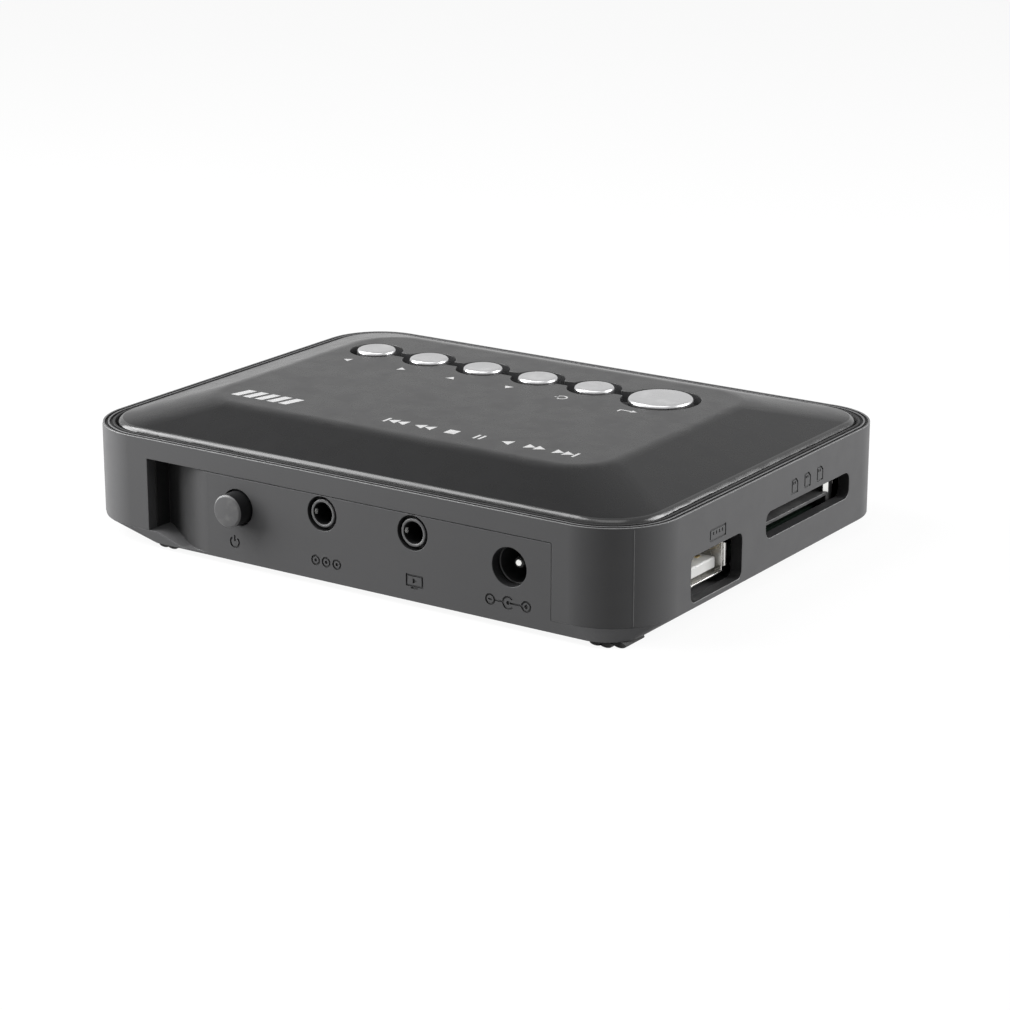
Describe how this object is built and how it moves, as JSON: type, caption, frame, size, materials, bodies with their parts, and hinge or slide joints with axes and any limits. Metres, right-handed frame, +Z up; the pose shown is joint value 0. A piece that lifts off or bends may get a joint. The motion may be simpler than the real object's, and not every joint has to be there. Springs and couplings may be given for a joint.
{
  "type": "media player",
  "caption": "Flat dark media player with a hipped key cover, silver push keys, side USB and card slots, and a rear panel with jacks, power inlet and push button.",
  "frame": {"origin": "middle of the overall bounding box at the underside of the feet", "axes": "+Z up, +Y towards the rear connector panel, -X side holds the USB and card slots"},
  "size_m": [0.11, 0.0844, 0.0234],
  "materials": {
    "housing_plastic": "fine spark-eroded satin",
    "cover_plastic": "soft satin paint",
    "tray_plastic": "fine spark-eroded satin",
    "foot_rubber": "matt, moulded ribs",
    "key_silver": "silver paint, satin",
    "button_plastic": "satin",
    "screw_steel": "zinc plated",
    "board_laminate": "solder mask",
    "chip_epoxy": "moulded epoxy",
    "sink_aluminium": "extruded, plain",
    "socket_steel": "nickel plated",
    "socket_plastic": "moulded",
    "tongue_plastic": "moulded",
    "contact_brass": "plated",
    "plunger_plastic": "moulded",
    "window_plastic": "dark tinted",
    "receiver_plastic": "moulded epoxy",
    "lamp_plastic": "clear moulded epoxy"
  },
  "bodies": {
    "chassis": {"upper_housing": "housing_plastic", "top_cover": "cover_plastic", "bottom_tray": "tray_plastic", "foot_front_left": "foot_rubber", "foot_front_right": "foot_rubber", "foot_rear_left": "foot_rubber", "foot_rear_right": "foot_rubber", "case_screws": "screw_steel", "board_screws": "screw_steel", "key_board_screws": "screw_steel", "main_board": "board_laminate", "key_board": "board_laminate", "processor": "chip_epoxy", "memory_chip": "chip_epoxy", "flash_chip": "chip_epoxy", "voltage_regulator": "chip_epoxy", "power_inductor": "chip_epoxy", "heat_sink": "sink_aluminium", "capacitor_inlet": "sink_aluminium", "capacitor_core": "sink_aluminium", "usb_shell": "socket_steel", "card_socket_cover": "socket_steel", "crystal": "socket_steel", "component_jack_body": "socket_plastic", "av_jack_body": "socket_plastic", "dc_jack_body": "socket_plastic", "card_socket_base": "socket_plastic", "power_switch_body": "socket_plastic", "header_body": "socket_plastic", "key_switch_right": "socket_plastic", "key_switch_left": "socket_plastic", "key_switch_down": "socket_plastic", "key_switch_up": "socket_plastic", "key_switch_return": "socket_plastic", "key_switch_enter": "socket_plastic", "usb_tongue": "tongue_plastic", "usb_contacts": "contact_brass", "card_contacts": "contact_brass", "component_jack_contacts": "contact_brass", "av_jack_contacts": "contact_brass", "dc_jack_pin": "contact_brass", "header_pins": "contact_brass", "ir_window": "window_plastic", "ir_receiver": "receiver_plastic", "status_led": "lamp_plastic"},
    "key_right_body": {"key_right": "key_silver", "switch_plunger_right": "plunger_plastic"},
    "key_left_body": {"key_left": "key_silver", "switch_plunger_left": "plunger_plastic"},
    "key_down_body": {"key_down": "key_silver", "switch_plunger_down": "plunger_plastic"},
    "key_up_body": {"key_up": "key_silver", "switch_plunger_up": "plunger_plastic"},
    "key_return_body": {"key_return": "key_silver", "switch_plunger_return": "plunger_plastic"},
    "key_enter_body": {"key_enter": "key_silver", "switch_plunger_enter": "plunger_plastic"},
    "power_button_body": {"power_button": "button_plastic", "power_switch_plunger": "plunger_plastic"}
  },
  "joints": [
    {"name": "key_right_press", "type": "slide", "parent": "chassis", "child": "key_right_body", "axis": [0, 0, -1], "range_m": [0, 0.0005], "stiffness_N_per_m": 1000, "springref_m": -0.001},
    {"name": "key_left_press", "type": "slide", "parent": "chassis", "child": "key_left_body", "axis": [0, 0, -1], "range_m": [0, 0.0005], "stiffness_N_per_m": 1000, "springref_m": -0.001},
    {"name": "key_down_press", "type": "slide", "parent": "chassis", "child": "key_down_body", "axis": [0, 0, -1], "range_m": [0, 0.0005], "stiffness_N_per_m": 1000, "springref_m": -0.001},
    {"name": "key_up_press", "type": "slide", "parent": "chassis", "child": "key_up_body", "axis": [0, 0, -1], "range_m": [0, 0.0005], "stiffness_N_per_m": 1000, "springref_m": -0.001},
    {"name": "key_return_press", "type": "slide", "parent": "chassis", "child": "key_return_body", "axis": [0, 0, -1], "range_m": [0, 0.0005], "stiffness_N_per_m": 1000, "springref_m": -0.001},
    {"name": "key_enter_press", "type": "slide", "parent": "chassis", "child": "key_enter_body", "axis": [0, 0, -1], "range_m": [0, 0.0005], "stiffness_N_per_m": 1000, "springref_m": -0.001},
    {"name": "power_button_press", "type": "slide", "parent": "chassis", "child": "power_button_body", "axis": [0, -1, 0], "range_m": [0, 0.002], "stiffness_N_per_m": 400, "springref_m": -0.002}
  ]
}
